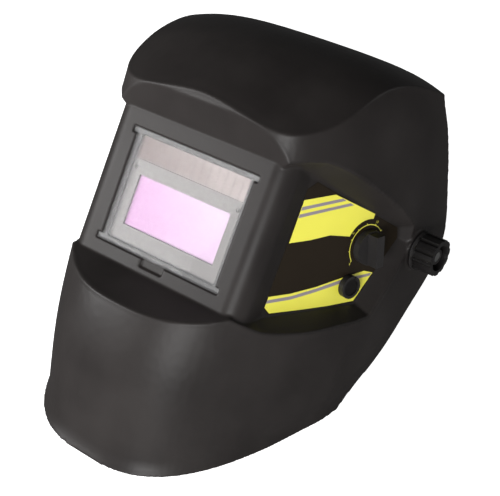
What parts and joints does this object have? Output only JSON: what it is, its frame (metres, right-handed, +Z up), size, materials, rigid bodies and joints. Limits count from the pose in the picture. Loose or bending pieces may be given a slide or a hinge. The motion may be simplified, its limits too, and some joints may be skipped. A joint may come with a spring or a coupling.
{
  "type": "welding helmet",
  "caption": "Black moulded welding helmet with a chin guard, window box, self-darkening filter cartridge, side shade controls and a pivoting ratchet headgear.",
  "frame": {"origin": "middle of the bottom of the bounding box, on the bench that the chin rim and the rear corners of the side walls stand on", "axes": "+Z up, +Y to the back of the helmet, +X to the wearer's left, where the side controls are; the window leans back 33.3 degrees"},
  "size_m": [0.2816, 0.358, 0.2546],
  "materials": {
    "shell_black": "satin moulded",
    "clear_lens": "clear polycarbonate",
    "cartridge_grey": "fine matt",
    "solar_cell": "striped cells under clear cover",
    "filter_lilac": "mirror coated",
    "lcd_glass": "polished",
    "board_green": "solder mask",
    "steel": "zinc plated",
    "sensor_dark": "dark lens",
    "inner_black": "moulded",
    "lead_black": "pvc sheath",
    "decal_yellow": "printed film",
    "pot_grey": "moulded",
    "knob_black": "satin",
    "gear_black": "moulded",
    "washer_rubber": "matt",
    "foam_black": "brushed cloth over foam"
  },
  "bodies": {
    "helmet": {"shell": "shell_black", "front_cover_lens": "clear_lens", "cartridge_front_housing": "cartridge_grey", "cartridge_rear_housing": "cartridge_grey", "solar_panel": "solar_cell", "uv_ir_filter": "filter_lilac", "lcd_shutter": "lcd_glass", "circuit_board": "board_green", "battery_cells": "steel", "arc_sensors": "sensor_dark", "inner_cover_lens": "clear_lens", "cartridge_holder": "inner_black", "holder_screws": "steel", "lead_plug": "inner_black", "control_lead": "lead_black", "decal_right": "decal_yellow", "decal_left": "decal_yellow", "shade_potentiometer": "pot_grey", "shade_pot_nut": "steel", "sensitivity_potentiometer": "pot_grey", "sensitivity_pot_nut": "steel"},
    "shade_knob": {"shade_knob": "knob_black"},
    "sensitivity_knob": {"sensitivity_knob": "knob_black"},
    "headgear": {"pivot_bolt_right": "gear_black", "pivot_bolt_left": "gear_black", "pivot_block_right": "gear_black", "pivot_block_left": "gear_black", "angle_plate_right": "gear_black", "angle_plate_left": "gear_black", "inner_washer_right": "washer_rubber", "inner_washer_left": "washer_rubber", "outer_washer_right": "gear_black", "outer_washer_left": "gear_black", "headband": "gear_black", "sweatband": "foam_black", "top_strap_left": "gear_black", "top_strap_right": "gear_black", "strap_peg": "gear_black", "strap_rivets": "gear_black", "ratchet_base": "gear_black", "ratchet_cover": "gear_black", "detent_ring": "inner_black", "nape_pad": "foam_black"},
    "tension_knob_right": {"tension_knob_right": "knob_black"},
    "tension_knob_left": {"tension_knob_left": "knob_black"},
    "ratchet_knob": {"ratchet_knob": "knob_black", "ratchet_pinion": "inner_black"},
    "rear_band_right": {"rear_band_right": "gear_black"},
    "rear_band_left": {"rear_band_left": "gear_black"}
  },
  "joints": [
    {"name": "helmet_tilt", "type": "hinge", "parent": "helmet", "child": "headgear", "pos_m": [0, 0.07777, 0.09598], "axis": [1, 0, 0], "range_deg": [-55, 16]},
    {"name": "shade_turn", "type": "hinge", "parent": "helmet", "child": "shade_knob", "pos_m": [0.10241, 0.0298, 0.11758], "axis": [0.9659, -0.2163, 0.1421], "range_deg": [-80, 120]},
    {"name": "sensitivity_turn", "type": "hinge", "parent": "helmet", "child": "sensitivity_knob", "pos_m": [0.10112, 0.00775, 0.09282], "axis": [0.9659, -0.2163, 0.1421], "range_deg": [-135, 135]},
    {"name": "tension_right_turn", "type": "hinge", "parent": "headgear", "child": "tension_knob_right", "pos_m": [0, 0.07777, 0.09598], "axis": [1, 0, 0], "range_deg": [0, 360]},
    {"name": "tension_left_turn", "type": "hinge", "parent": "headgear", "child": "tension_knob_left", "pos_m": [0, 0.07777, 0.09598], "axis": [-1, 0, 0], "range_deg": [0, 360]},
    {"name": "ratchet_turn", "type": "hinge", "parent": "headgear", "child": "ratchet_knob", "pos_m": [0, 0.15118, 0.02789], "axis": [0, 0.6983, -0.7158], "range_deg": [-150, 150]},
    {"name": "rear_band_right_slide", "type": "hinge", "parent": "headgear", "child": "rear_band_right", "pos_m": [0, 0.08694, 0.09375], "axis": [0, 0.7158, 0.6983], "range_deg": [-7, 7]},
    {"name": "rear_band_left_slide", "type": "hinge", "parent": "headgear", "child": "rear_band_left", "pos_m": [0, 0.08694, 0.09375], "axis": [0, 0.7158, 0.6983], "range_deg": [-7, 7]}
  ],
  "couplings": [
    {"joint": "rear_band_right_slide", "follows": "ratchet_turn", "ratio": -0.045455},
    {"joint": "rear_band_left_slide", "follows": "ratchet_turn", "ratio": 0.045455}
  ]
}
